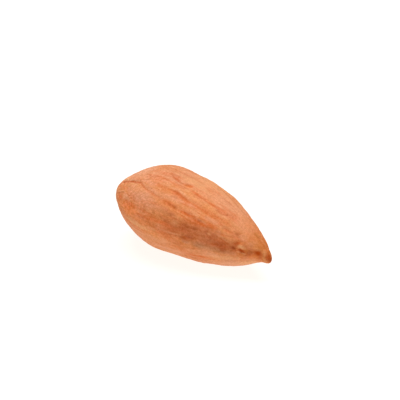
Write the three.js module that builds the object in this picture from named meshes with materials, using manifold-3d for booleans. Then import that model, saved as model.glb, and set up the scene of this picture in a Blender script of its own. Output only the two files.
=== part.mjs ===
// An almond kernel in its brown skin, whole and out of its shell, lying on one broad side.
// Millimetres, +Z up. +X runs from the blunt end to the tip, and the kernel rests on z = 0.
//
// A place on the skin has two coordinates. The station s runs along the length, from 0 at the
// blunt end to 1 at the tip. The angle runs round the section in degrees: 0 is the far margin,
// 90 the top, 180 the near margin, which carries the scar, and 270 the underside.

import * as THREE from "three";
import { mergeVertices } from "three/addons/utils/BufferGeometryUtils.js";
import Module from "manifold-3d";

const wasm = await Module();
wasm.setup();

// Size of the smooth kernel
const LENGTH = 24;
const WIDTH = 13.3;
const THICKNESS = 9.7;

// How fast the width and the thickness close at the blunt end and at the tip: 0.5 is round, 1 is pointed
const WIDTH_TAPER = { butt: 0.47, tip: 0.93 };
const THICKNESS_TAPER = { butt: 0.51, tip: 0.77 };
// How much the broad faces stand up off a plain ellipse towards a blunt edge at the margins
const MARGIN_EDGE = 0.1;

// The kernel isn't symmetrical: both ends curl to the far side, and the near margin sits high
const BUTT_CURL = { side: 0.91, up: 0.08 };
const TIP_CURL = { side: 0.1, up: 0.04 };
const BUTT_SLANT = 0.22;
const NEAR_MARGIN_RISE = 0.98;

// The little beak that the root grows from
const NIB_RADIUS = 0.68;
const NIB_TAPER = 1.3;
const NIB_DROOP = 0.63;
const NIB_DROOP_LENGTH = 1.9;
const NIB_BLEND = 6;

// How it lies: tip down, near margin up, on a small flat where its weight has settled
const TIP_DOWN = 5;
const NEAR_SIDE_UP = 1.9;
const REST_FLAT_CUT = 0.22;

// Skin mesh
const ANGLES = 88;
const RINGS = 50;

// The scar where the seed hung in its shell: a knob, with a pit below it and a dent behind it
const SCAR = [
  { s: 0.88, angle: 161, radius: 0.5, height: 0.28 },
  { s: 0.88, angle: 177, radius: 0.38, height: -0.26 },
  { s: 0.84, angle: 172, radius: 0.42, height: -0.2 },
  { s: 0.947, angle: 165, radius: 0.5, height: -0.12 },
];

// Creases and sunken veins on the side that carries the scar, each from one station and angle to
// another. bow is how far the middle swings round from the straight line, in degrees.
const CREASES = [
  { name: "fold over the blunt end", s: [0.05, 0.25], angle: [147, 127], bow: -7.5, depth: 0.17, width: 0.3 },
  { name: "vein running on from that fold", s: [0.23, 0.41], angle: [129.5, 136.5], bow: 0, depth: 0.07, width: 0.3 },
  { name: "long lower vein", s: [0.42, 0.71], angle: [136.5, 142], bow: 0.7, depth: 0.1, width: 0.4 },
  { name: "long middle vein", s: [0.36, 0.77], angle: [116.5, 127.5], bow: -0.5, depth: 0.11, width: 0.4 },
  { name: "upper fold", s: [0.29, 0.485], angle: [91, 97.5], bow: 4.5, depth: 0.15, width: 0.35 },
  { name: "upper vein", s: [0.5, 0.76], angle: [105, 107], bow: 0.8, depth: 0.08, width: 0.4 },
  { name: "short vein on the crown", s: [0.53, 0.67], angle: [89, 92], bow: 0, depth: 0.07, width: 0.35 },
  { name: "vein above the seam", s: [0.69, 0.83], angle: [152, 165], bow: -2, depth: 0.08, width: 0.4 },
  { name: "seam from the scar to the blunt end", s: [0.2, 0.86], angle: [166, 171], bow: -5, depth: 0.14, width: 0.8 },
  { name: "short vein on the margin", s: [0.49, 0.66], angle: [184, 176], bow: 0, depth: 0.08, width: 0.35 },
  { name: "vein under the margin", s: [0.42, 0.74], angle: [220, 226], bow: -3, depth: 0.09, width: 0.4 },
  { name: "vein beside the tip", s: [0.86, 0.975], angle: [92, 91], bow: 2, depth: 0.08, width: 0.35 },
];

// The other sides have sunken veins at even steps round the section, each a little off its place
const VEINS = { count: 14, angle: [238, 438], drift: 5, depth: [0.06, 0.14], width: 0.42 };
const VEIN_START = [0.12, 0.34];
const VEIN_END = [0.62, 0.88];

// Soft hollows and swellings that the skin shrank into as the kernel dried
const HOLLOWS = [
  { s: 0.03, angle: 112, radius: 1.8, height: -0.14 },
  { s: 0.046, angle: 150, radius: 0.9, height: 0.05 },
  { s: 0.06, angle: 149, radius: 2, height: 0.26 },
  { s: 0.1, angle: 192, radius: 1.4, height: -0.05 },
  { s: 0.1, angle: 216, radius: 2.4, height: -0.18 },
  { s: 0.2, angle: 61, radius: 2.6, height: 0.24 },
  { s: 0.33, angle: 50, radius: 1.4, height: -0.07 },
  { s: 0.35, angle: 232, radius: 2.4, height: 0.17 },
  { s: 0.42, angle: 62, radius: 2.2, height: -0.09 },
  { s: 0.44, angle: 46, radius: 1.1, height: 0.07 },
  { s: 0.48, angle: 250, radius: 2.2, height: -0.17 },
  { s: 0.6, angle: 43, radius: 2.6, height: 0.08 },
  { s: 0.68, angle: 248, radius: 1.2, height: -0.05 },
  { s: 0.75, angle: 40, radius: 2.2, height: -0.06 },
  { s: 0.77, angle: 251, radius: 1.2, height: 0.04 },
  { s: 0.82, angle: 245, radius: 2, height: 0.06 },
  { s: 0.94, angle: 28, radius: 1.2, height: 0.07 },
  { s: 0.965, angle: 235, radius: 0.6, height: 0.05 },
  { s: 0.3, angle: 300, radius: 3.4, height: -0.18 },
  { s: 0.62, angle: 330, radius: 2.6, height: -0.14 },
];

// Share of the length at each end over which that relief dies away
const SMOOTH_ENDS = 0.02;

const radians = THREE.MathUtils.degToRad;
const clamp = THREE.MathUtils.clamp;

// Half a breadth along the length, as a share of the greatest one
function taper(s, { butt, tip }) {
  const widest = butt / (butt + tip);
  return Math.pow(s / widest, butt) * Math.pow((1 - s) / (1 - widest), tip);
}

// The largest of two radii, with a soft step between them
function softMax(a, b, sharpness) {
  return Math.pow(Math.pow(a, sharpness) + Math.pow(b, sharpness), 1 / sharpness);
}

// Radius of the nib at a distance from the tip: a round end, a neck, and then it fades out
function nibRadius(fromTip) {
  const inEnd = Math.max(NIB_RADIUS - fromTip, 0);
  const roundEnd = Math.sqrt(NIB_RADIUS * NIB_RADIUS - inEnd * inEnd);
  const fade = clamp(1 - (fromTip - NIB_RADIUS) / NIB_TAPER, 0, 1);
  return roundEnd * fade;
}

// The smooth kernel: its point, the outward direction across the section, and the section's radius
function smoothSkin(s, angle) {
  const cos = Math.cos(radians(angle));
  const sin = Math.sin(radians(angle));
  const halfWidth = (WIDTH / 2) * taper(s, WIDTH_TAPER);
  const halfThickness = (THICKNESS / 2) * taper(s, THICKNESS_TAPER);
  const fromTip = LENGTH * (1 - s);

  let y = halfWidth * cos;
  let z = halfThickness * sin * Math.pow(Math.abs(sin), MARGIN_EDGE);
  const bare = Math.max(Math.hypot(y, z), 1e-6);
  const radius = softMax(bare, nibRadius(fromTip), NIB_BLEND);
  y *= radius / bare;
  z *= radius / bare;

  const nearness = Math.pow(clamp(-cos, 0, 1), 2);
  const breadth = halfWidth / (WIDTH / 2);
  z += NEAR_MARGIN_RISE * nearness * breadth * (1 - 0.6 * s);
  z -= NIB_DROOP * Math.pow(clamp(1 - fromTip / NIB_DROOP_LENGTH, 0, 1), 2);
  y += BUTT_CURL.side * Math.pow(1 - s, 3) + TIP_CURL.side * Math.pow(s, 3);
  z += BUTT_CURL.up * Math.pow(1 - s, 3) + TIP_CURL.up * Math.pow(s, 3);
  const x = LENGTH * (s - 0.5) - BUTT_SLANT * cos * breadth * Math.pow(1 - s, 4);

  const outward = new THREE.Vector3(0, cos / Math.max(halfWidth, 0.1), sin / Math.max(halfThickness, 0.1));
  return { point: new THREE.Vector3(x, y, z), outward: outward.normalize(), radius };
}

// Shortest way round from one angle to another, in degrees
function turnBetween(from, to) {
  return THREE.MathUtils.euclideanModulo(to - from + 180, 360) - 180;
}

// Depth of one crease at a place: a rounded trough that runs out at both ends
function creaseDepth(crease, s, angle, radius) {
  const along = (s - crease.s[0]) / (crease.s[1] - crease.s[0]);
  if (along <= 0 || along >= 1) return 0;
  const swing = crease.bow * 4 * along * (1 - along);
  const middle = THREE.MathUtils.lerp(crease.angle[0], crease.angle[1], along) + swing;
  const across = (radius * radians(turnBetween(middle, angle))) / crease.width;
  return crease.depth * Math.sqrt(Math.sin(Math.PI * along)) * Math.exp(-across * across);
}

// A share from 0 to 1 that looks random and is the same each time
function scatter(index, step) {
  return (index * step) % 1;
}

// The veins of the other sides, spread by that rule
function spreadVeins() {
  const veins = [];
  for (let index = 0; index < VEINS.count; index += 1) {
    const place = THREE.MathUtils.lerp(VEINS.angle[0], VEINS.angle[1], index / (VEINS.count - 1));
    const drift = VEINS.drift * (2 * scatter(index + 1, 0.618) - 1);
    veins.push({
      s: [
        THREE.MathUtils.lerp(VEIN_START[0], VEIN_START[1], scatter(index + 1, 0.382)),
        THREE.MathUtils.lerp(VEIN_END[0], VEIN_END[1], scatter(index + 1, 0.755)),
      ],
      angle: [place + drift, place - drift],
      bow: VEINS.drift * (scatter(index + 1, 0.271) - 0.5),
      depth: THREE.MathUtils.lerp(VEINS.depth[0], VEINS.depth[1], scatter(index + 1, 0.57)),
      width: VEINS.width,
    });
  }
  return veins;
}

// Swellings and dents that fall off round a middle point of the smooth skin
function mounds(list) {
  return list.map((mound) => ({ ...mound, middle: smoothSkin(mound.s, mound.angle).point }));
}

function moundHeight(mound, point) {
  const away = point.distanceTo(mound.middle) / mound.radius;
  return mound.height * Math.exp(-away * away);
}

const allCreases = [...CREASES, ...spreadVeins()];
const allMounds = mounds([...SCAR, ...HOLLOWS]);

// A point of the finished skin
function skin(s, angle) {
  const { point, outward, radius } = smoothSkin(s, angle);
  let relief = 0;
  for (const crease of allCreases) relief -= creaseDepth(crease, s, angle, radius);
  for (const mound of allMounds) relief += moundHeight(mound, point);
  relief *= clamp(Math.min(s, 1 - s) / SMOOTH_ENDS, 0, 1);
  return point.clone().addScaledVector(outward, relief);
}

// A ball's mesh, with its axis laid from the blunt end to the tip, drawn out into the kernel
function kernelGeometry() {
  const geometry = new THREE.SphereGeometry(1, ANGLES, RINGS);
  geometry.deleteAttribute("normal");
  geometry.deleteAttribute("uv");
  const position = geometry.getAttribute("position");
  const ball = new THREE.Vector3();
  for (let i = 0; i < position.count; i += 1) {
    ball.fromBufferAttribute(position, i);
    const s = clamp((1 + ball.y) / 2, 1e-12, 1 - 1e-12);
    const angle = THREE.MathUtils.radToDeg(Math.atan2(ball.x, ball.z));
    const place = skin(s, angle);
    position.setXYZ(i, place.x, place.y, place.z);
  }
  return mergeVertices(geometry, 1e-4);
}

function toSolid(geometry) {
  return new wasm.Manifold(
    new wasm.Mesh({
      numProp: 3,
      vertProperties: new Float32Array(geometry.getAttribute("position").array),
      triVerts: new Uint32Array(geometry.getIndex().array),
    }),
  );
}

function toGeometry(solid) {
  const mesh = solid.getMesh();
  const geometry = new THREE.BufferGeometry();
  geometry.setAttribute("position", new THREE.BufferAttribute(mesh.vertProperties, 3));
  geometry.setIndex(new THREE.BufferAttribute(mesh.triVerts, 1));
  return geometry;
}

// Turns the kernel as it lies, sets it on the surface and takes the flat off its underside
function restingKernel() {
  const kernel = kernelGeometry();
  kernel.rotateX(-radians(NEAR_SIDE_UP));
  kernel.rotateY(radians(TIP_DOWN));
  kernel.computeBoundingBox();
  const { min, max } = kernel.boundingBox;
  kernel.translate(-(min.x + max.x) / 2, -(min.y + max.y) / 2, -min.z - REST_FLAT_CUT);

  const below = new THREE.BoxGeometry(2 * LENGTH, 2 * WIDTH, THICKNESS);
  below.translate(0, 0, -THICKNESS / 2);
  below.deleteAttribute("normal");
  below.deleteAttribute("uv");
  return toGeometry(toSolid(kernel).subtract(toSolid(mergeVertices(below))));
}

const skinMaterial = new THREE.MeshStandardMaterial({ color: 0xc97a45, roughness: 0.8, metalness: 0 });

const almond = new THREE.Mesh(restingKernel(), skinMaterial);
almond.name = "almond";

const group = new THREE.Group();
group.add(almond);

export default group;
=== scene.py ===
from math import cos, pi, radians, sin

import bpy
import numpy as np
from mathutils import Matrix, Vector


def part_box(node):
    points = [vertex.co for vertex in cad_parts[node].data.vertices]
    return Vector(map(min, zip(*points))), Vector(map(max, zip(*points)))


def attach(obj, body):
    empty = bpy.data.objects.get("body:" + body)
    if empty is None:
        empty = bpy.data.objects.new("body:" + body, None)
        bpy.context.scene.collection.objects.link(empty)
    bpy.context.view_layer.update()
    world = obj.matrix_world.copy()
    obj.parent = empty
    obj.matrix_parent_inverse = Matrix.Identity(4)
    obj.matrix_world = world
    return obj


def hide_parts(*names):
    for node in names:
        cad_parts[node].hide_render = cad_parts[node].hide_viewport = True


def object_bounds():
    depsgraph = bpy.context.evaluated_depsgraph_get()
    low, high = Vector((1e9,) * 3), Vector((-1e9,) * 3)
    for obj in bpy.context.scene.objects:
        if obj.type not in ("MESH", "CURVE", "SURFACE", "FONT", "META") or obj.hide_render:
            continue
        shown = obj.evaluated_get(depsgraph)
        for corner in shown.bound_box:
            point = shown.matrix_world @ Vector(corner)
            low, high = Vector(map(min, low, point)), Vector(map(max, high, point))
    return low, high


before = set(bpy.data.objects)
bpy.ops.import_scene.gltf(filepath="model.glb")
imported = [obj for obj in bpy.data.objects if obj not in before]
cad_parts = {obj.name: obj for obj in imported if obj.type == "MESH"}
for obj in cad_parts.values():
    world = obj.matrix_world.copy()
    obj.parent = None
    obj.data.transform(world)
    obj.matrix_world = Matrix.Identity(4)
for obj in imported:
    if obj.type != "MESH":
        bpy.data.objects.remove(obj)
cad_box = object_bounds()

# One almond kernel in its dry brown skin, lying on one broad side on a white surface.
#
# A place on the skin has two coordinates, the same as in the part's own source. The station s
# runs along the length, from 0 at the blunt end to 1 at the tip. The angle runs round the
# section in degrees: 0 is the far margin, 90 the top, 180 the near margin, which carries the
# scar, and 270 the underside. Lengths in the formulas are millimetres.

MM = 0.001

# Size and form of the smooth kernel. The near margin is raised at the blunt end, and that rise
# falls by the given share towards the tip.
LENGTH = 24.0
WIDTH = 13.3
THICKNESS = 9.7
WIDTH_TAPER = (0.47, 0.93)
THICKNESS_TAPER = (0.51, 0.77)
MARGIN_EDGE = 0.1
BUTT_CURL = (0.91, 0.08)
TIP_CURL = (0.1, 0.04)
BUTT_SLANT = 0.22
NEAR_MARGIN_RISE = 0.98
NEAR_MARGIN_FALL = 0.6

# The little beak at the tip
NIB_RADIUS = 0.68
NIB_TAPER = 1.3
NIB_DROOP = 0.63
NIB_DROOP_LENGTH = 1.9
NIB_BLEND = 6.0

# How it lies
TIP_DOWN = 5.0
NEAR_SIDE_UP = 1.9
REST_FLAT_CUT = 0.22
REST_FLAT_EDGE = 0.04

# Mesh of the skin: about 0.1 mm from point to point. The relief fades out over a stretch at
# each end.
RINGS = 262
ANGLES = 368
SMOOTH_ENDS = 0.02

# The scar where the seed hung in its shell: station, angle, radius and height of each mound
SCAR_KNOB = (0.88, 161, 0.5, 0.28)
SCAR_PIT = (0.88, 177, 0.38, -0.26)
SCAR_DENT = (0.84, 172, 0.42, -0.2)
TIP_DENT = (0.947, 165, 0.5, -0.12)

# Soft hollows and swellings that the kernel got as it dried
HOLLOWS = [
    (0.03, 112, 1.8, -0.14),
    (0.046, 150, 0.9, 0.05),
    (0.06, 149, 2.0, 0.26),
    (0.1, 192, 1.4, -0.05),
    (0.1, 216, 2.4, -0.18),
    (0.2, 61, 2.6, 0.24),
    (0.33, 50, 1.4, -0.07),
    (0.35, 232, 2.4, 0.17),
    (0.42, 62, 2.2, -0.09),
    (0.44, 46, 1.1, 0.07),
    (0.48, 250, 2.2, -0.17),
    (0.6, 43, 2.6, 0.08),
    (0.68, 248, 1.2, -0.05),
    (0.75, 40, 2.2, -0.06),
    (0.77, 251, 1.2, 0.04),
    (0.82, 245, 2.0, 0.06),
    (0.94, 28, 1.2, 0.07),
    (0.965, 235, 0.6, 0.05),
    (0.3, 300, 3.4, -0.18),
    (0.62, 330, 2.6, -0.14),
]

# Creases and sunken veins on the side with the scar: stations, angles, swing of the middle in
# degrees, depth, width, and how strongly the line is coloured
CREASES = [
    ((0.05, 0.25), (147, 127), -7.5, 0.17, 0.3, 1.2),
    ((0.23, 0.41), (129.5, 136.5), 0, 0.07, 0.3, 0.75),
    ((0.42, 0.71), (136.5, 142), 0.7, 0.1, 0.4, 0.5),
    ((0.36, 0.77), (116.5, 127.5), -0.5, 0.11, 0.4, 0.6),
    ((0.29, 0.485), (91, 97.5), 4.5, 0.15, 0.35, 0.95),
    ((0.5, 0.76), (105, 107), 0.8, 0.08, 0.4, 0.3),
    ((0.53, 0.67), (89, 92), 0, 0.07, 0.35, 0.4),
    ((0.69, 0.83), (152, 165), -2, 0.08, 0.4, 0.6),
    ((0.2, 0.86), (166, 171), -5, 0.14, 0.8, 0.0),
    ((0.49, 0.66), (184, 176), 0, 0.08, 0.35, 0.5),
    ((0.42, 0.74), (220, 226), -3, 0.09, 0.4, 0.5),
    ((0.86, 0.975), (92, 91), 2, 0.08, 0.35, 0.6),
]

# Hairlines too fine for the solid, given in the same way
HAIRLINES = [
    ((0.22, 0.3), (127.5, 132.5), 0, 0.04, 0.15, 0.7),
    ((0.25, 0.35), (129, 131), 0, 0.03, 0.15, 0.5),
    ((0.3, 0.43), (131.5, 137), 0, 0.04, 0.15, 0.75),
    ((0.15, 0.27), (142, 147.5), -0.5, 0.03, 0.15, 0.5),
    ((0.07, 0.19), (170, 153.5), -3, 0.06, 0.18, 0.7),
    ((0.29, 0.38), (90, 94), 0.5, 0.03, 0.15, 0.8),
    ((0.4, 0.484), (98, 97.5), 1, 0.04, 0.16, 1.05),
    ((0.39, 0.54), (116, 119.5), 0, 0.03, 0.15, 0.9),
    ((0.53, 0.63), (119, 121.5), 0, 0.02, 0.15, 0.5),
    ((0.42, 0.6), (122, 127), 0, 0.02, 0.15, 0.3),
    ((0.55, 0.61), (138, 140.5), 0, 0.04, 0.18, 0.9),
    ((0.61, 0.7), (142, 145), 0, 0.03, 0.18, 0.7),
    ((0.67, 0.73), (109.5, 108), 1, 0.03, 0.15, 0.7),
    ((0.53, 0.6), (196, 198), 0, 0.03, 0.15, 0.5),
    ((0.69, 0.8), (127, 136), 0, 0.04, 0.2, 0.5),
    ((0.59, 0.66), (159.5, 157), 0, 0.02, 0.2, 0.3),
    ((0.88, 0.92), (190, 193), 0, 0.03, 0.15, 0.5),
]

# Sunken veins of the other sides, by rule: how many, from and to which angle, how far they drift
# in degrees, depths, width, how strongly they are coloured, and where they start and end
VEIN_COUNT = 14
VEIN_ANGLES = (238, 438)
VEIN_DRIFT = 5.0
VEIN_DEPTHS = (0.06, 0.14)
VEIN_WIDTH = 0.42
VEIN_TONE = 0.6
VEIN_START = (0.12, 0.34)
VEIN_END = (0.62, 0.88)

# Marks of tone on the other sides, by rule: half length, half breadth and strength of each kind at
# its full size, how much of that size they have, how far they drift off the veins in degrees, and
# from and to which angle they lie
SPREAD_TONES = {
    "band": (2.8, 0.9, 0.6),
    "rust": (1.4, 0.35, 0.8),
    "spot": (0.6, 0.3, 0.7),
    "pink": (2.0, 0.9, 0.8),
}
MARK_SIZES = (0.5, 1.0)
MARK_DRIFT = 6.0
MARK_ANGLES = (256, 405)

# Finer relief than the solid carries: the depth of a crease's core and the height of its lip as
# shares of the crease's depth, how far its line wanders, and from which strength it is unbroken.
# Its colour is strong in the core and weak in a wider halo.
CORE_WIDTH = 0.13
CORE_DEPTH = 0.3
LIP_HEIGHT = 0.2
WANDER = 0.12
UNBROKEN = 0.7
HALO_WIDTH = 0.32
CORE_TONE = 0.75
HALO_TONE = 0.3

# Streaks, threads and scurf. The width of a thread is in units of the noise that draws it.
STREAK_DEPTH = 0.03
THREAD_DEPTH = 0.03
THREAD_WIDTH = 0.16
FINE_THREAD_SHARE = 0.6
SCURF_HEIGHT = 0.022

# Noise: knots on each side of its lattice, after which it repeats, the share of the finer noise
# that is laid over a coarse one, and how much longer than broad a streak is
LATTICE = 48
FINER_SHARE = 0.6
STREAK_STRETCH = 8

# Distances between the knots of the noise behind each kind of relief, coarse and fine
WANDER_KNOTS = (1.2, 0.45)
STREAK_KNOTS = (0.9, 0.45)
SCURF_KNOTS = (0.42, 0.24)
THREAD_KNOTS = (1.1, 0.6)
EDGE_KNOTS = (0.9, 0.7)
STRENGTH_KNOTS = 1.3
TURN_KNOTS = 1.9

# The blunt half is scurfier: up to which station, over what stretch it fades, and what share of
# the threads the scurf hides
SCURFY_UP_TO = 0.5
SCURFY_FADE = 0.3
THREADS_HIDDEN = 0.5

# The tan end of the skin: from which station it sets in, and over what stretch
TIP_TONE_FROM = 0.8
TIP_TONE_FADE = 0.14

# How far noise pushes the edge of a patch of tone, as a share of its breadth
RAGGED_EDGE = 0.35

# Patches of tone: station, angle, half length, half breadth, strength
PATCHES = {
    # Darker band along the near margin, and smaller dark stretches beside it
    "band": [
        (0.42, 166, 3.2, 1.2, 0.2),
        (0.505, 149, 1.1, 0.45, 0.6),
        (0.56, 194, 1.2, 0.5, 0.5),
        (0.63, 167, 4.4, 1.7, 0.8),
        (0.7, 165, 2.4, 1.6, 0.75),
        (0.79, 171, 2.4, 1.3, 0.8),
        (0.818, 214, 1.2, 0.5, 0.4),
        (0.878, 150, 0.6, 0.5, 0.5),
    ],
    # Grey dust on the band's lower edge
    "dun": [
        (0.69, 187, 1.4, 0.5, 0.6),
        (0.75, 188, 1.4, 0.5, 0.5),
        (0.792, 187, 0.8, 0.4, 0.5),
    ],
    # Small dark brown spots
    "spot": [
        (0.191, 145, 0.3, 0.3, 0.35),
        (0.244, 118, 0.3, 0.3, 0.3),
        (0.304, 128, 0.6, 0.13, 0.4),
        (0.352, 156, 0.2, 0.45, 0.35),
        (0.414, 158, 0.25, 0.2, 0.35),
        (0.463, 160, 0.35, 0.2, 0.4),
        (0.463, 124.5, 0.5, 0.2, 0.35),
        (0.476, 138, 0.5, 0.2, 0.4),
        (0.5, 138, 0.35, 0.25, 0.45),
        (0.5, 162, 0.6, 0.25, 0.45),
        (0.507, 149.5, 0.35, 0.25, 0.4),
        (0.59, 164, 0.4, 0.22, 0.45),
        (0.6, 181, 0.5, 0.2, 0.5),
        (0.61, 158.5, 0.6, 0.25, 0.5),
        (0.637, 175, 0.5, 0.35, 0.5),
        (0.643, 157, 0.35, 0.22, 0.7),
        (0.654, 141, 0.3, 0.16, 0.6),
        (0.705, 155, 0.25, 0.3, 0.6),
        (0.727, 171, 0.2, 0.25, 0.4),
        (0.73, 105.5, 0.12, 0.18, 0.6),
        (0.732, 164, 0.2, 0.25, 0.4),
        (0.745, 156, 0.5, 0.3, 0.45),
        (0.78, 169, 0.6, 0.5, 0.5),
        (0.8, 184, 0.35, 0.5, 0.45),
        (0.835, 130, 0.25, 0.2, 0.4),
        (0.838, 172, 0.25, 0.3, 1.0),
        (0.9, 89, 0.5, 0.2, 0.6),
        (0.902, 191, 0.3, 0.16, 0.5),
        (0.916, 177, 0.4, 0.4, 0.6),
    ],
    # Orange streaks, many of them along the veins
    "rust": [
        (0.135, 172, 0.6, 0.5, 0.35),
        (0.15, 165, 0.8, 0.5, 0.9),
        (0.23, 171, 0.9, 0.5, 0.8),
        (0.25, 165, 1.0, 0.6, 0.9),
        (0.28, 98, 0.9, 0.4, 0.4),
        (0.3, 113, 1.3, 0.5, 0.4),
        (0.315, 97, 0.4, 0.25, 0.35),
        (0.36, 95.5, 0.7, 0.3, 0.6),
        (0.36, 197, 1.2, 0.6, 0.3),
        (0.374, 92.5, 0.8, 0.4, 0.3),
        (0.38, 173, 1.8, 0.7, 0.4),
        (0.4, 118.5, 0.8, 0.18, 0.5),
        (0.45, 119, 0.9, 0.28, 0.9),
        (0.457, 98, 0.45, 0.2, 0.4),
        (0.47, 138, 1.0, 0.3, 0.7),
        (0.485, 183, 1.3, 0.5, 0.7),
        (0.5, 121, 0.8, 0.26, 0.9),
        (0.5, 172, 1.4, 0.9, 0.4),
        (0.515, 189, 0.8, 0.5, 0.5),
        (0.52, 182, 0.8, 0.3, 0.5),
        (0.54, 122.5, 0.6, 0.2, 0.6),
        (0.55, 104, 1.1, 0.4, 0.7),
        (0.55, 85, 1.2, 0.5, 0.35),
        (0.57, 139.5, 1.0, 0.25, 0.8),
        (0.58, 204, 0.9, 0.5, 0.5),
        (0.584, 78, 0.6, 0.2, 0.5),
        (0.585, 105, 0.7, 0.25, 0.5),
        (0.595, 121.5, 1.2, 0.22, 0.5),
        (0.62, 218, 0.8, 0.25, 0.3),
        (0.635, 106, 0.9, 0.22, 0.7),
        (0.64, 122, 0.7, 0.22, 0.6),
        (0.66, 144.5, 0.9, 0.35, 0.7),
        (0.685, 105.5, 0.9, 0.2, 0.7),
        (0.69, 216, 0.8, 0.3, 0.5),
        (0.7, 122.5, 0.7, 0.28, 0.6),
        (0.72, 141, 0.7, 0.25, 0.6),
        (0.75, 123, 1.0, 0.5, 0.4),
        (0.8, 134, 0.8, 0.4, 0.35),
        (0.867, 178, 0.3, 0.3, 0.5),
        (0.88, 183, 0.35, 0.3, 0.6),
        (0.91, 210, 0.8, 0.8, 0.4),
        (0.915, 200, 0.9, 0.6, 0.4),
    ],
    # Deep red-brown in the dents round the scar, at the end of the nib and in the band
    "deep": [
        (0.62, 180, 0.5, 0.3, 0.4),
        (0.8, 181, 0.4, 0.5, 0.4),
        (0.846, 158, 0.25, 0.2, 0.5),
        (0.857, 153, 0.35, 0.2, 0.7),
        (0.946, 166, 0.38, 0.5, 1.0),
        (0.958, 170, 0.3, 0.35, 0.6),
        (0.959, 190, 0.3, 0.4, 0.5),
        (0.991, 112, 0.38, 0.55, 0.85),
    ],
    # Dusty pink scurf. The pink stretches along the lower rim, near angles 230 to 245, are painted
    # reflection of the white table, not scurf.
    "pink": [
        (0.13, 100, 1.5, 2.0, 0.9),
        (0.2, 138, 1.6, 0.8, 0.4),
        (0.2, 157, 0.9, 0.5, 0.6),
        (0.27, 120.5, 1.3, 0.35, 0.6),
        (0.4, 82, 6.0, 2.2, 0.5),
        (0.418, 186, 0.6, 0.35, 0.5),
        (0.45, 205, 1.6, 0.6, 0.6),
        (0.455, 127.5, 1.6, 0.5, 0.6),
        (0.49, 218, 2.4, 0.9, 0.8),
        (0.506, 126, 0.7, 0.2, 0.7),
        (0.568, 124.5, 0.8, 0.25, 0.6),
        (0.62, 187, 0.45, 0.35, 0.8),
        (0.64, 85, 4.0, 2.0, 0.5),
        (0.66, 245, 2.0, 1.0, 0.6),
        (0.68, 88, 1.6, 1.0, 0.3),
        (0.7, 130, 1.1, 0.4, 0.6),
        (0.7, 180, 0.4, 0.4, 0.4),
        (0.745, 206, 1.1, 0.5, 0.7),
        (0.745, 133, 0.8, 0.35, 0.25),
        (0.754, 147, 0.5, 0.35, 0.7),
        (0.815, 122, 0.8, 0.5, 0.25),
        (0.82, 105, 1.4, 2.0, 0.5),
        (0.83, 193.5, 0.9, 0.35, 0.5),
        (0.84, 238, 3.2, 1.6, 0.95),
        (0.866, 131, 0.6, 0.5, 0.6),
        (0.895, 233, 0.9, 0.4, 0.6),
        (0.905, 229, 0.9, 0.5, 0.7),
        (0.91, 138, 0.6, 0.9, 0.5),
    ],
    # Dull rose bloom on the blunt half
    "rose": [
        (0.3, 145.5, 2.0, 0.9, 0.8),
        (0.385, 132, 1.5, 0.5, 0.5),
        (0.42, 149.5, 1.8, 0.65, 0.55),
    ],
    # Bright amber: broad glows along the near margin, and flecks
    "amber": [
        (0.24, 175, 2.2, 1.1, 0.68),
        (0.25, 181, 1.4, 0.5, 0.75),
        (0.34, 181, 1.6, 0.6, 0.5),
        (0.44, 190.5, 4.2, 0.8, 0.32),
        (0.455, 99.5, 0.55, 0.22, 0.8),
        (0.537, 185.5, 0.5, 0.3, 0.4),
        (0.545, 113.5, 2.4, 0.35, 0.18),
        (0.742, 148, 0.6, 0.3, 0.35),
        (0.874, 186, 0.45, 0.3, 0.6),
        (0.92, 203, 0.35, 0.3, 0.4),
        (0.938, 192, 0.4, 0.3, 0.7),
        (0.944, 144, 0.5, 0.5, 0.4),
    ],
    # Pale ridges and flecks, the knob of the scar, and lighter stretches of the crown. The long pale
    # stretch on the upper rim is painted sheen. The pale stretch on the lower rim near angle 238 is
    # painted reflection of the white table. The thin pale line under the scar's pit is a painted
    # highlight on the pit's lit lower wall.
    "pale": [
        (0.09, 141.5, 0.6, 0.13, 0.6),
        (0.11, 129, 1.0, 0.3, 0.5),
        (0.16, 132.5, 0.9, 0.13, 0.7),
        (0.32, 191.5, 2.6, 0.5, 0.65),
        (0.445, 185.5, 0.35, 0.3, 0.3),
        (0.46, 86, 2.4, 0.8, 0.35),
        (0.47, 114.5, 0.8, 0.12, 0.4),
        (0.481, 108, 0.4, 0.3, 0.4),
        (0.484, 94, 0.12, 0.35, 0.4),
        (0.5, 60, 4.0, 1.3, 0.5),
        (0.54, 101, 1.0, 0.13, 0.3),
        (0.545, 113.5, 2.4, 0.35, 0.15),
        (0.55, 113, 0.6, 0.12, 0.3),
        (0.55, 159, 0.4, 0.3, 0.25),
        (0.719, 155.5, 0.2, 0.2, 0.35),
        (0.763, 133.5, 0.3, 0.3, 0.3),
        (0.78, 212, 1.6, 0.45, 0.45),
        (0.865, 207, 0.25, 0.3, 0.4),
        (0.867, 182, 0.25, 0.2, 0.4),
        (0.879, 162.5, 0.37, 0.28, 0.75),
        (0.887, 187, 0.28, 0.1, 0.5),
        (0.9, 238, 1.3, 0.7, 0.5),
        (0.944, 146, 0.35, 0.3, 0.35),
        (0.972, 133, 0.3, 0.35, 0.35),
        (0.983, 185, 0.2, 0.3, 0.2),
    ],
    # Ochre skin round the nib
    "ochre": [
        (0.895, 88, 0.5, 0.3, 0.7),
        (0.93, 103, 1.1, 1.2, 0.4),
        (0.975, 190, 0.25, 0.5, 0.5),
    ],
    # Bottom of the scar's pit
    "pit": [
        (0.877, 176, 0.24, 0.34, 1.0),
        (0.886, 176, 0.26, 0.28, 0.8),
    ],
}

# Tones that the streaks break up
BROKEN_TONES = ("band", "rust", "pink", "rose")


def turn_between(start, end):
    """Shortest way round from one angle to another, in degrees."""
    return (end - start + 180) % 360 - 180


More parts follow.
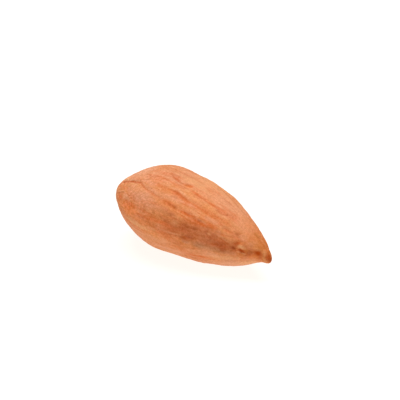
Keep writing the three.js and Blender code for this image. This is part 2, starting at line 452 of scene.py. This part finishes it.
def taper(s, ends):
    """Half a breadth along the length as a share of the greatest: s to one power times
    1 - s to another, scaled so that its peak is 1."""
    butt, tip = ends
    widest = butt / (butt + tip)
    return (s / widest) ** butt * ((1 - s) / (1 - widest)) ** tip


def smooth_skin(s, angle):
    """The kernel without relief: an ellipse at each station, whose half axes follow the two
    tapers. The nib's radius takes over near the tip, and the nib droops. The near margin is
    raised, and the ends curl to the far side. Returns the points, the outward directions across
    the section, and the section's radius."""
    c, n = np.cos(np.radians(angle)), np.sin(np.radians(angle))
    half_width = WIDTH / 2 * taper(s, WIDTH_TAPER)
    half_thickness = THICKNESS / 2 * taper(s, THICKNESS_TAPER)
    from_tip = LENGTH * (1 - s)

    y = half_width * c
    z = half_thickness * n * np.abs(n) ** MARGIN_EDGE
    bare = np.maximum(np.hypot(y, z), 1e-6)
    in_end = np.maximum(NIB_RADIUS - from_tip, 0)
    round_end = np.sqrt(NIB_RADIUS**2 - in_end**2)
    nib = round_end * np.clip(1 - (from_tip - NIB_RADIUS) / NIB_TAPER, 0, 1)
    radius = (bare**NIB_BLEND + nib**NIB_BLEND) ** (1 / NIB_BLEND)
    y, z = y * radius / bare, z * radius / bare

    nearness = np.clip(-c, 0, 1) ** 2
    breadth = half_width / (WIDTH / 2)
    z = z + NEAR_MARGIN_RISE * nearness * breadth * (1 - NEAR_MARGIN_FALL * s)
    z = z - NIB_DROOP * np.clip(1 - from_tip / NIB_DROOP_LENGTH, 0, 1) ** 2
    y = y + BUTT_CURL[0] * (1 - s) ** 3 + TIP_CURL[0] * s**3
    z = z + BUTT_CURL[1] * (1 - s) ** 3 + TIP_CURL[1] * s**3
    x = LENGTH * (s - 0.5) - BUTT_SLANT * c * breadth * (1 - s) ** 4

    out_y = c / np.maximum(half_width, 0.1)
    out_z = n / np.maximum(half_thickness, 0.1)
    size = np.hypot(out_y, out_z)
    outward = np.stack([0 * out_y, out_y / size, out_z / size], -1)
    return np.stack([x, y, z], -1), outward, radius


def scatter(index, step):
    """A share from 0 to 1 that looks random and is the same each time."""
    return index * step % 1


def between(ends, share):
    """The value at a share of the way between two."""
    return ends[0] + (ends[1] - ends[0]) * share


def spread_veins():
    """The sunken veins of the other sides, at even steps round the section, each a bit off."""
    veins = []
    for index in range(VEIN_COUNT):
        place = between(VEIN_ANGLES, index / (VEIN_COUNT - 1))
        drift = VEIN_DRIFT * (2 * scatter(index + 1, 0.618) - 1)
        start = between(VEIN_START, scatter(index + 1, 0.382))
        end = between(VEIN_END, scatter(index + 1, 0.755))
        bow = VEIN_DRIFT * (scatter(index + 1, 0.271) - 0.5)
        depth = between(VEIN_DEPTHS, scatter(index + 1, 0.57))
        veins.append(((start, end), (place + drift, place - drift), bow, depth, VEIN_WIDTH, VEIN_TONE))
    return veins


def spread_marks():
    """Marks of the skin on the other sides, by rule: dark, rusty, spotted and dusty stretches
    beside the sunken veins there. Returns patches for each tone."""
    marks = {tone: [] for tone in SPREAD_TONES}
    for index, (stations, angles, *_) in enumerate(spread_veins()):
        for step, (tone, (length, breadth, strength)) in enumerate(SPREAD_TONES.items()):
            share = scatter(index + 1, 0.382 + 0.137 * step)
            size = between(MARK_SIZES, scatter(index + 1, 0.57 + 0.083 * step))
            angle = between(angles, share) + MARK_DRIFT * (2 * size - sum(MARK_SIZES))
            if MARK_ANGLES[0] < angle < MARK_ANGLES[1]:
                station = between(stations, share)
                marks[tone].append((station, angle, length * size, breadth * size, strength))
    return marks


def crease_lines(s, angle, radius, wander, strength):
    """Relief of all creases, the tone of their troughs and the tone of their lips. Each is a
    trough whose depth falls off across it as a bell curve and along it as the root of a half
    sine. A narrow core is cut in its middle, and a low lip stands on its upper side. The core
    wanders, and the fainter its colour, the more it is broken up."""
    relief = np.zeros_like(s)
    tone = np.zeros_like(s)
    lips = np.zeros_like(s)
    for stations, angles, bow, depth, width, colour in CREASES + HAIRLINES + spread_veins():
        along = (s - stations[0]) / (stations[1] - stations[0])
        fade = np.sqrt(np.sin(pi * np.clip(along, 0, 1)))
        middle = between(angles, along) + bow * 4 * along * (1 - along)
        offset = radius * np.radians(turn_between(middle, angle))
        relief -= depth * fade * np.exp(-((offset / width) ** 2))
        offset = offset + wander
        fade = fade * np.clip(strength + colour - UNBROKEN, 0, 1)
        core = fade * np.exp(-((offset / CORE_WIDTH) ** 2))
        halo = fade * np.exp(-((offset / HALO_WIDTH) ** 2))
        lip = fade * np.exp(-(((offset + 2 * CORE_WIDTH) / CORE_WIDTH) ** 2))
        relief += depth * colour * (LIP_HEIGHT * lip - CORE_DEPTH * core)
        tone = np.maximum(tone, colour * (CORE_TONE * core + HALO_TONE * halo))
        lips = np.maximum(lips, colour * lip)
    return relief, tone, lips


def mound(points, place):
    """Height of a swelling or dent that falls off as a bell curve round its middle."""
    s, angle, radius, height = place
    middle = smooth_skin(np.array(s), np.array(float(angle)))[0]
    away = np.linalg.norm(points - middle, axis=-1) / radius
    return height * np.exp(-(away**2))


def lattice_noise(place, size, seed):
    """Smooth noise from -1 to 1: random values at the knots of a cubic lattice, blended between
    the eight knots round a point. size is the distance between knots."""
    knots = np.random.default_rng(seed).uniform(-1, 1, (LATTICE, LATTICE, LATTICE))
    grid = place / size
    low = np.floor(grid).astype(int)
    part = grid - low
    part = part * part * (3 - 2 * part)
    total = np.zeros(place.shape[:-1])
    for corner in np.ndindex(2, 2, 2):
        index = (low + corner) % LATTICE
        share = np.prod(np.where(corner, part, 1 - part), axis=-1)
        total += share * knots[index[..., 0], index[..., 1], index[..., 2]]
    return total


def double_noise(place, sizes, seeds):
    """A coarse noise with a weaker finer one laid over it."""
    coarse = lattice_noise(place, sizes[0], seeds[0])
    return coarse + FINER_SHARE * lattice_noise(place, sizes[1], seeds[1])


def streak_place(points, angle, stretch):
    """Halfway between a point of the kernel and the same place on a cylinder with its greatest
    girth. Noise that reads it runs in streaks from end to end, stretch times as long as they
    are broad, which draw together towards the ends."""
    c, n = np.cos(np.radians(angle)), np.sin(np.radians(angle))
    y = (points[..., 1] + WIDTH / 2 * c) / 2
    z = (points[..., 2] + WIDTH / 2 * n) / 2
    return np.stack([points[..., 0] / stretch, y, z], -1)


def even_stations(count):
    """Stations at even steps of the way along the skin, from pole to pole."""
    fine = (1 - np.cos(np.linspace(0, pi, 4000))) / 2
    fine = np.clip(fine, 1e-12, 1 - 1e-12)
    points = smooth_skin(fine, np.full_like(fine, 90.0))[0]
    way = np.concatenate([[0], np.cumsum(np.linalg.norm(np.diff(points, axis=0), axis=-1))])
    return np.interp(np.linspace(0, way[-1], count), way, fine)


def patch_tone(s, angle, radius, ragged, patches):
    """Strength from 0 to 1 of the patches of one tone, each an oval on the skin that falls off
    with the cube of the way from its middle. Noise pushes its edge to and fro, in proportion to
    its breadth."""
    tone = np.zeros_like(s)
    for station, middle, half_length, half_breadth, strength in patches:
        along = LENGTH * (s - station) / half_length + ragged[0]
        across = radius * np.radians(turn_between(middle, angle)) / half_breadth + ragged[1]
        tone = np.maximum(tone, strength * np.exp(-np.hypot(along, across) ** 3))
    return tone


def turned(points, axis, degrees):
    """Points turned about the X or the Y axis."""
    c, n = cos(radians(degrees)), sin(radians(degrees))
    if axis == "x":
        matrix = np.array([[1, 0, 0], [0, c, -n], [0, n, c]])
    else:
        matrix = np.array([[c, 0, n], [0, 1, 0], [-n, 0, c]])
    return points @ matrix.T


def laid_down(points, box):
    """The kernel as it lies: near side up, tip down, its box centred on the solid's box, and its
    underside flattened at the surface with a soft edge."""
    points = turned(turned(points, "x", -NEAR_SIDE_UP), "y", TIP_DOWN)
    low = points.reshape(-1, 3).min(0)
    high = points.reshape(-1, 3).max(0)
    middle = (np.array(box[0]) + np.array(box[1])) / 2 / MM
    shift = middle - (low + high) / 2
    shift[2] = box[0][2] / MM - low[2] - REST_FLAT_CUT
    points = points + shift
    z = points[..., 2]
    points[..., 2] = (z + np.sqrt(z**2 + REST_FLAT_EDGE**2)) / 2
    points[..., 2] -= points[..., 2].min()
    return points


def threads(place, size, seed):
    """Fine branching lines, 1 in their middle: where smooth noise passes through 0."""
    return np.exp(-((lattice_noise(place, size, seed) / THREAD_WIDTH) ** 2))


def skin_surface():
    """The finished skin on a grid of rings and angles: the smooth kernel, moved outwards by its
    creases, its mounds, streaks and threads along the length and a fine scurf. Threads of two
    sizes take turns over the skin. Returns the points, their tones, and their places for noise
    that runs in streaks."""
    s, angle = np.meshgrid(even_stations(RINGS), np.arange(ANGLES) * 360 / ANGLES, indexing="ij")
    points, outward, radius = smooth_skin(s, angle)
    along = streak_place(points, angle, STREAK_STRETCH)
    wander = double_noise(points, WANDER_KNOTS, (1, 6))
    # The creases show more and less strongly in turn
    strength = np.clip(0.65 + 0.7 * lattice_noise(points, STRENGTH_KNOTS, 7), 0.1, 1)
    relief, crease, lips = crease_lines(s, angle, radius, WANDER * wander, strength)
    for place in [SCAR_KNOB, SCAR_PIT, SCAR_DENT, TIP_DENT, *HOLLOWS]:
        relief += mound(points, place)

    turn = np.clip(0.45 + 0.9 * lattice_noise(points, TURN_KNOTS, 8), 0, 1)
    coarse_threads = threads(along, THREAD_KNOTS[0], 9)
    fine_threads = FINE_THREAD_SHARE * threads(along, THREAD_KNOTS[1], 10)
    thread = np.maximum(coarse_threads * turn, fine_threads * (1 - turn))
    scurfy = np.clip((SCURFY_UP_TO - s) / SCURFY_FADE, 0, 1)
    thread *= 1 - THREADS_HIDDEN * scurfy
    streaks = double_noise(along, STREAK_KNOTS, (2, 3))
    scurf = double_noise(points, SCURF_KNOTS, (4, 5))
    relief += STREAK_DEPTH * streaks + SCURF_HEIGHT * scurf - THREAD_DEPTH * thread
    relief *= np.clip(np.minimum(s, 1 - s) / SMOOTH_ENDS, 0, 1)

    ragged = [RAGGED_EDGE * lattice_noise(points, size, seed) for size, seed in zip(EDGE_KNOTS, (11, 12))]
    marks = spread_marks()
    tones = {}
    for name, patches in PATCHES.items():
        tones[name] = patch_tone(s, angle, radius, ragged, patches + marks.get(name, []))
    tones["crease"] = crease
    tones["lip"] = lips
    tones["thread"] = thread
    tones["scurfy"] = scurfy
    tones["tip"] = np.clip((s - TIP_TONE_FROM) / TIP_TONE_FADE, 0, 1)
    return points + outward * relief[..., None], tones, {"streak_place": streak_place(points, angle, 1)}


def pole_to_pole(values):
    """Grid values as one flat list, with each end ring shrunk to one point."""
    middle = values[1:-1].reshape(-1, *values.shape[2:])
    return np.concatenate([values[:1, 0], middle, values[-1:, 0]])


def closed_faces(rings, around):
    """Faces of a surface closed round its axis: a fan at each pole and four-sided faces between."""
    index = 1 + np.arange((rings - 2) * around).reshape(rings - 2, around)
    following = np.roll(index, -1, axis=1)
    quads = np.stack([index[:-1], following[:-1], following[1:], index[1:]], -1).reshape(-1, 4)
    last = index[-1, -1] + 1
    first_fan = np.stack([0 * index[0], following[0], index[0]], -1)
    last_fan = np.stack([index[-1], following[-1], 0 * index[-1] + last], -1)
    return quads.tolist() + first_fan.tolist() + last_fan.tolist()


def almond_skin(box):
    """The skin as one closed mesh, with its tones as attributes of its points."""
    points, tones, places = skin_surface()
    mesh = bpy.data.meshes.new("almond_skin")
    mesh.from_pydata(pole_to_pole(laid_down(points, box) * MM).tolist(), [], closed_faces(RINGS, ANGLES))
    for name, values in tones.items():
        attribute = mesh.attributes.new(name, "FLOAT", "POINT")
        attribute.data.foreach_set("value", pole_to_pole(values).astype(np.float32))
    for name, values in places.items():
        attribute = mesh.attributes.new(name, "FLOAT_VECTOR", "POINT")
        attribute.data.foreach_set("vector", pole_to_pole(values).astype(np.float32).ravel())
    mesh.shade_smooth()
    piece = bpy.data.objects.new("almond_skin", mesh)
    bpy.context.scene.collection.objects.link(piece)
    return piece


def linear(colour):
    """An sRGB hex colour as linear red, green, blue and alpha."""
    parts = [int(colour[i : i + 2], 16) / 255 for i in (1, 3, 5)]
    return [p / 12.92 if p <= 0.04045 else ((p + 0.055) / 1.055) ** 2.4 for p in parts] + [1.0]


def new_material(name):
    """An empty node material."""
    material = bpy.data.materials.new(name)
    material.use_nodes = True
    material.node_tree.nodes.clear()
    return material


def add(tree, kind, settings=None, **inputs):
    """A node with its settings. An input is a value or another node's output; a name such as
    at_1 means the input with that number."""
    node = tree.nodes.new("ShaderNode" + kind)
    for name, value in (settings or {}).items():
        setattr(node, name, value)
    for name, value in inputs.items():
        key = int(name[3:]) if name.startswith("at_") else name.replace("_", " ")
        if isinstance(value, bpy.types.NodeSocket):
            tree.links.new(value, node.inputs[key])
        else:
            node.inputs[key].default_value = value
    return node


# Colours of the skin
SKIN = "#D9874D"
SKIN_PINK = "#DF9364"
SKIN_ORANGE = "#D36F33"
THREAD_RUST = "#C45C1E"
CREASE_BROWN = "#BE5A20"
TIP_TAN = "#D26F24"
RIDGE_PINK = "#EEB48C"
DUST = "#FFFFFF"
SHEEN = "#FFD9B8"

# Colours of the patches, in the order in which they are laid over each other
PATCH_COLOURS = {
    "pink": "#E29C74",
    "rose": "#CE8862",
    "amber": "#EE8640",
    "band": "#B85C2C",
    "dun": "#AE764E",
    "rust": "#D26426",
    "spot": "#A44A1A",
    "ochre": "#C87A38",
    "pale": "#E8A872",
}

# Colours of the hollows, where no dust lies
HOLLOW_COLOURS = {
    "deep": "#B04402",
    "pit": "#A03C00",
}

# Patterns of the skin's colour, in millimetres across, and how far its scales stand up
MOTTLE_SIZE = 3.0
STREAK_SIZE = 0.9
THIN_STREAK_SIZE = 0.3
SCALE_SIZE = 0.3
FLAKE_SIZE = 0.24
GRIT_SIZE = 0.13
BUMP_HEIGHT = 0.05

# The table's own colour and its glow, and the room: its colour, how strongly it lights the
# almond, and how bright the camera sees it
TABLE_GREY = "#7B7A78"
TABLE_GLOW = "#FFFDF8"
TABLE_GLOW_STRENGTH = 0.92
ROOM_WHITE = "#F4F6FA"
ROOM_LIGHT = 0.28
ROOM_SEEN = 1.12


def seed_coat():
    """Almond seed coat, dried on the kernel: a matt, scurfy, fibrous brown skin. Veins run along
    it in darker streaks, and loose scales a quarter of a millimetre across stand pale on it,
    most of all towards the blunt end."""
    material = new_material("almond_seed_coat")
    tree = material.node_tree

    def attribute(name, output="Fac"):
        return add(tree, "Attribute", {"attribute_name": name}).outputs[output]

    def noise(place, size_mm, detail=2.0, roughness=0.5):
        node = add(tree, "TexNoise", Vector=place, Scale=1 / size_mm, Detail=detail, Roughness=roughness)
        return node.outputs["Fac"]

    def ramp(value, low, high, bottom=0.0, top=1.0):
        node = add(tree, "MapRange", {"interpolation_type": "SMOOTHSTEP"}, Value=value)
        for key, setting in zip((1, 2, 3, 4), (low, high, bottom, top)):
            node.inputs[key].default_value = setting
        return node.outputs[0]

    def times(a, b):
        return add(tree, "Math", {"operation": "MULTIPLY"}, at_0=a, at_1=b).outputs[0]

    def times_add(a, b, c):
        return add(tree, "Math", {"operation": "MULTIPLY_ADD"}, at_0=a, at_1=b, at_2=c).outputs[0]

    def blend(under, over, share):
        over = linear(over) if isinstance(over, str) else over
        under = linear(under) if isinstance(under, str) else under
        return add(tree, "MixRGB", Fac=share, Color1=under, Color2=over).outputs[0]

    object_place = add(tree, "TexCoord").outputs["Object"]
    place = add(tree, "Mapping", Vector=object_place, Scale=(1 / MM, 1 / MM, 1 / MM)).outputs[0]
    around = attribute("streak_place", "Vector")
    along = add(tree, "Mapping", Vector=around, Scale=(1 / STREAK_STRETCH, 1.0, 1.0)).outputs[0]

    mottle = noise(place, MOTTLE_SIZE)
    streaks = noise(along, STREAK_SIZE, 3.0, 0.6)
    thin_streaks = noise(along, THIN_STREAK_SIZE)
    scales = noise(place, SCALE_SIZE, 2.0, 0.6)
    flakes = noise(place, FLAKE_SIZE, 1.0)
    grit = noise(place, GRIT_SIZE, 1.0)

    # The ground: tan and pink in broad patches, then orange streaks and rusty threads
    colour = blend(SKIN, SKIN_PINK, ramp(mottle, 0.35, 0.65))
    colour = blend(colour, TIP_TAN, times(attribute("tip"), 0.8))
    colour = blend(colour, SKIN_ORANGE, ramp(streaks, 0.48, 0.66, 0.0, 0.8))
    colour = blend(colour, THREAD_RUST, ramp(thin_streaks, 0.55, 0.75, 0.0, 0.5))
    colour = blend(colour, THREAD_RUST, times(attribute("thread"), 0.45))

    # The patches, and the creases with their lips
    breaks = ramp(streaks, 0.35, 0.6, 0.6, 1.0)
    # Some pink and pale patches are painted light: reflection of the white table on the lower rim, sheen
    # on the upper rim, and a highlight under the scar's pit.
    for name, patch_colour in PATCH_COLOURS.items():
        share = attribute(name)
        if name in BROKEN_TONES:
            share = times(share, breaks)
        colour = blend(colour, patch_colour, share)
    colour = blend(colour, CREASE_BROWN, times(attribute("crease"), 0.9))
    colour = blend(colour, RIDGE_PINK, times(attribute("lip"), 0.25))

    # Scales, grit and flakes change the shade by a few per cent, and the palest are dusty
    scurfy = attribute("scurfy")
    shade = times(ramp(scales, 0.3, 0.7, 0.91, 1.06), ramp(grit, 0.3, 0.7, 0.93, 1.05))
    shade = times(shade, times_add(ramp(flakes, 0.35, 0.65, -0.11, 0.06), scurfy, 1.0))
    colour = add(tree, "VectorMath", {"operation": "SCALE"}, at_0=colour, Scale=shade).outputs[0]
    colour = blend(colour, DUST, ramp(shade, 0.92, 1.06, 0.0, 0.02))
    colour = blend(colour, DUST, times(scurfy, ramp(flakes, 0.35, 0.65, 0.0, 0.03)))
    for name, hollow_colour in HOLLOW_COLOURS.items():
        colour = blend(colour, hollow_colour, attribute(name))

    heights = times_add(scales, 0.6, grit)
    bump = add(tree, "Bump", Height=heights, Strength=0.5, Distance=BUMP_HEIGHT * MM).outputs[0]
    shader = add(tree, "BsdfPrincipled", Base_Color=colour, Normal=bump)
    shader.inputs["Roughness"].default_value = 0.72
    shader.inputs["IOR"].default_value = 1.45
    shader.inputs["Specular IOR Level"].default_value = 0.08
    shader.inputs["Sheen Weight"].default_value = 0.05
    shader.inputs["Sheen Roughness"].default_value = 0.5
    shader.inputs["Sheen Tint"].default_value = linear(SHEEN)
    add(tree, "OutputMaterial", Surface=shader.outputs[0])
    return material


def white_table():
    """Matt opal acrylic sheet, lit from below so that it shows as white all over."""
    material = new_material("lit_opal_acrylic")
    tree = material.node_tree
    shader = add(tree, "BsdfPrincipled", Base_Color=linear(TABLE_GREY), Roughness=0.8)
    shader.inputs["Specular IOR Level"].default_value = 0.1
    shader.inputs["Emission Color"].default_value = linear(TABLE_GLOW)
    shader.inputs["Emission Strength"].default_value = TABLE_GLOW_STRENGTH
    add(tree, "OutputMaterial", Surface=shader.outputs[0])
    return material


# Camera: the direction it looks from, its distance, how much it takes in at the almond, and how
# far beside the middle of the almond's foot its axis passes
CAMERA_AZIMUTH = 42.0
CAMERA_ELEVATION = 23.7
CAMERA_DISTANCE = 300 * MM
PICTURE_WIDTH = 49.25 * MM
AIM_RIGHT = 0.3 * MM
AIM_UP = 6.62 * MM
SENSOR = 36.0

# Half the side of the table's sheet, in metres
TABLE_HALF = 3.0


def camera_axes():
    """Directions to the right of, up from and back to the camera."""
    a, e = radians(CAMERA_AZIMUTH), radians(CAMERA_ELEVATION)
    back = np.array([sin(a) * cos(e), -cos(a) * cos(e), sin(e)])
    right = np.array([cos(a), sin(a), 0.0])
    return right, np.cross(back, right), back


def set_camera():
    """A long lens that looks down on the almond from its near side."""
    right, up, back = camera_axes()
    data = bpy.data.cameras.new("camera")
    data.sensor_width = SENSOR
    data.lens = SENSOR * CAMERA_DISTANCE / PICTURE_WIDTH
    data.clip_start = 10 * MM
    data.clip_end = 10.0
    camera = bpy.data.objects.new("camera", data)
    camera.location = right * AIM_RIGHT + up * AIM_UP + back * CAMERA_DISTANCE
    camera.rotation_euler = (radians(90 - CAMERA_ELEVATION), 0, radians(CAMERA_AZIMUTH))
    bpy.context.scene.collection.objects.link(camera)
    bpy.context.scene.camera = camera


def set_table():
    """A white sheet under the almond, wide enough to fill every view."""
    mesh = bpy.data.meshes.new("table")
    corners = [(TABLE_HALF * x, TABLE_HALF * y, 0) for x, y in ((-1, -1), (1, -1), (1, 1), (-1, 1))]
    mesh.from_pydata(corners, [], [(0, 1, 2, 3)])
    mesh.materials.append(white_table())
    table = bpy.data.objects.new("table", mesh)
    table.location.z = cad_box[0][2]
    bpy.context.scene.collection.objects.link(table)


def soft_box(name, place, size, power):
    """A square area light that faces the almond. Place and size are in metres, power in watts."""
    data = bpy.data.lights.new(name, "AREA")
    data.size = size
    data.energy = power
    lamp = bpy.data.objects.new(name, data)
    lamp.location = place
    flat = np.hypot(place[0], place[1])
    lamp.rotation_euler = (np.arctan2(flat, place[2]), 0, np.arctan2(place[0], -place[1]))
    bpy.context.scene.collection.objects.link(lamp)


def set_lights():
    """A large soft box overhead, a weak low one in front to the left, and a dim grey room, which
    the camera sees as white."""
    right, _, back = camera_axes()
    ahead = np.array([-back[0], -back[1], 0]) / np.hypot(back[0], back[1])
    high = np.array([0, 0, 1.0])
    soft_box("overhead_box", 0.5 * high + 0.06 * ahead, size=0.45, power=3.0)
    soft_box("front_box", 0.06 * high - 0.5 * ahead - 0.35 * right, size=0.3, power=0.75)
    world = bpy.data.worlds.new("room")
    world.use_nodes = True
    tree = world.node_tree
    background = tree.nodes["Background"]
    background.inputs["Color"].default_value = linear(ROOM_WHITE)
    seen = add(tree, "LightPath").outputs["Is Camera Ray"]
    strength = add(tree, "MapRange", Value=seen, To_Min=ROOM_LIGHT, To_Max=ROOM_SEEN).outputs[0]
    tree.links.new(strength, background.inputs["Strength"])
    bpy.context.scene.world = world
    bpy.context.scene.view_settings.view_transform = "Standard"


skin = almond_skin(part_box("almond"))
skin.data.materials.append(seed_coat())
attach(skin, "root")
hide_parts("almond")

set_table()
set_lights()
set_camera()
